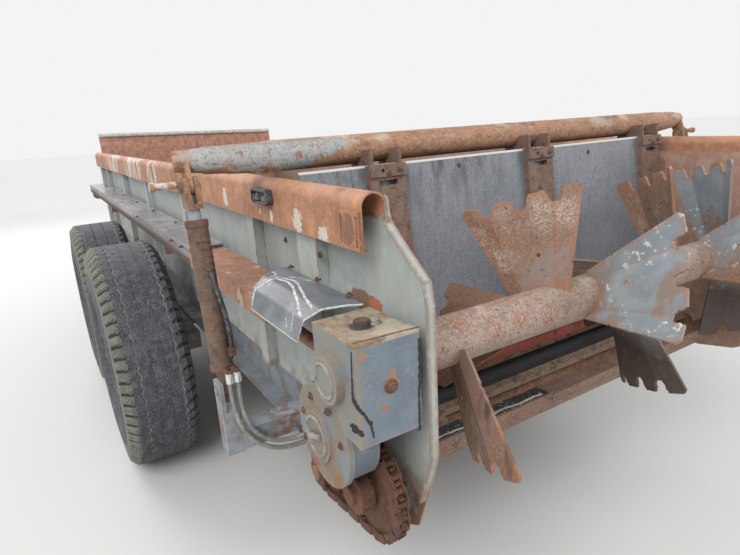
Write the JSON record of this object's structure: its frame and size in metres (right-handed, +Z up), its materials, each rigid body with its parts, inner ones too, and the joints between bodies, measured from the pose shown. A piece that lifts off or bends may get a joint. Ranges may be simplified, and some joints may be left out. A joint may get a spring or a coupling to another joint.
{
  "type": "manure spreader",
  "caption": "Tandem-wheel towed box spreader with slatted moving floor, sliding end gate on lift cylinders, horizontal paddle beater and side drive line.",
  "frame": {"origin": "centre of the bounding box in plan, on the ground under the wheels", "axes": "+X forwards to the hitch, +Y to the left side of the machine, +Z up"},
  "size_m": [6.7492, 2.744, 1.655],
  "materials": {
    "paint": "flaking pale grey-green paint over rust",
    "slate": "worn blue-grey paint",
    "rail_rust": "orange-brown rust with pale flakes",
    "dark_rust": "dark rust",
    "rust": "rust",
    "pale_steel": "dull pale grey",
    "steel": "bright worn steel",
    "red": "worn red paint",
    "black": "dull black",
    "hose_grey": "dull grey",
    "tyre": "dusty black"
  },
  "bodies": {
    "chassis": {"floor_top_run": "dark_rust", "floor_return_run": "dark_rust", "floor_panel": "dark_rust", "side_panels": "paint", "top_rails": "rail_rust", "front_wall": "paint", "front_extension": "dark_rust", "rear_plates": "paint", "sills": "slate", "cross_members": "slate", "tongue": "slate", "hitch_clevis": "rust", "jack": "rust", "axle": "slate", "walking_beams": "slate", "apron_shafts": "rust", "rear_beam": "rust", "shaft_shield": "pale_steel", "shield_rear": "rust", "shield_flap": "black", "line_shaft": "rust", "pto_shaft": "black", "pto_holder": "rust", "gear_case": "slate", "drive_chain": "rust", "drive_sprockets": "rust", "shaft_bearings": "rust", "lift_barrels": "rust", "lift_stand": "slate", "hose_fittings": "steel", "hose_outer": "hose_grey", "hose_inner": "hose_grey", "marker_lamp": "black"},
    "gate": {"gate_pipe": "rust", "gate_posts": "rust", "gate_sheet": "slate", "gate_bottom_bar": "red", "lift_rods": "steel"},
    "beater": {"beater_tube": "rust", "beater_paddles": "slate"},
    "wheel_rear_left": {"tyre_rear_left": "tyre", "rim_rear_left": "slate"},
    "wheel_rear_right": {"tyre_rear_right": "tyre", "rim_rear_right": "slate"},
    "wheel_front_left": {"tyre_front_left": "tyre", "rim_front_left": "slate"},
    "wheel_front_right": {"tyre_front_right": "tyre", "rim_front_right": "slate"}
  },
  "joints": [
    {"name": "gate_lift", "type": "slide", "parent": "chassis", "child": "gate", "axis": [0.1219, 0, 0.9925], "range_m": [0, 0.3]},
    {"name": "beater_spin", "type": "hinge", "parent": "chassis", "child": "beater", "pos_m": [-3.0274, 0, 1.09], "axis": [0, 1, 0], "continuous": true},
    {"name": "rear_left_wheel_spin", "type": "hinge", "parent": "chassis", "child": "wheel_rear_left", "pos_m": [-1.1374, 1.204, 0.554], "axis": [0, 1, 0], "continuous": true},
    {"name": "rear_right_wheel_spin", "type": "hinge", "parent": "chassis", "child": "wheel_rear_right", "pos_m": [-1.1374, -1.204, 0.554], "axis": [0, 1, 0], "continuous": true},
    {"name": "front_left_wheel_spin", "type": "hinge", "parent": "chassis", "child": "wheel_front_left", "pos_m": [0.0126, 1.204, 0.535], "axis": [0, 1, 0], "continuous": true},
    {"name": "front_right_wheel_spin", "type": "hinge", "parent": "chassis", "child": "wheel_front_right", "pos_m": [0.0126, -1.204, 0.535], "axis": [0, 1, 0], "continuous": true}
  ]
}
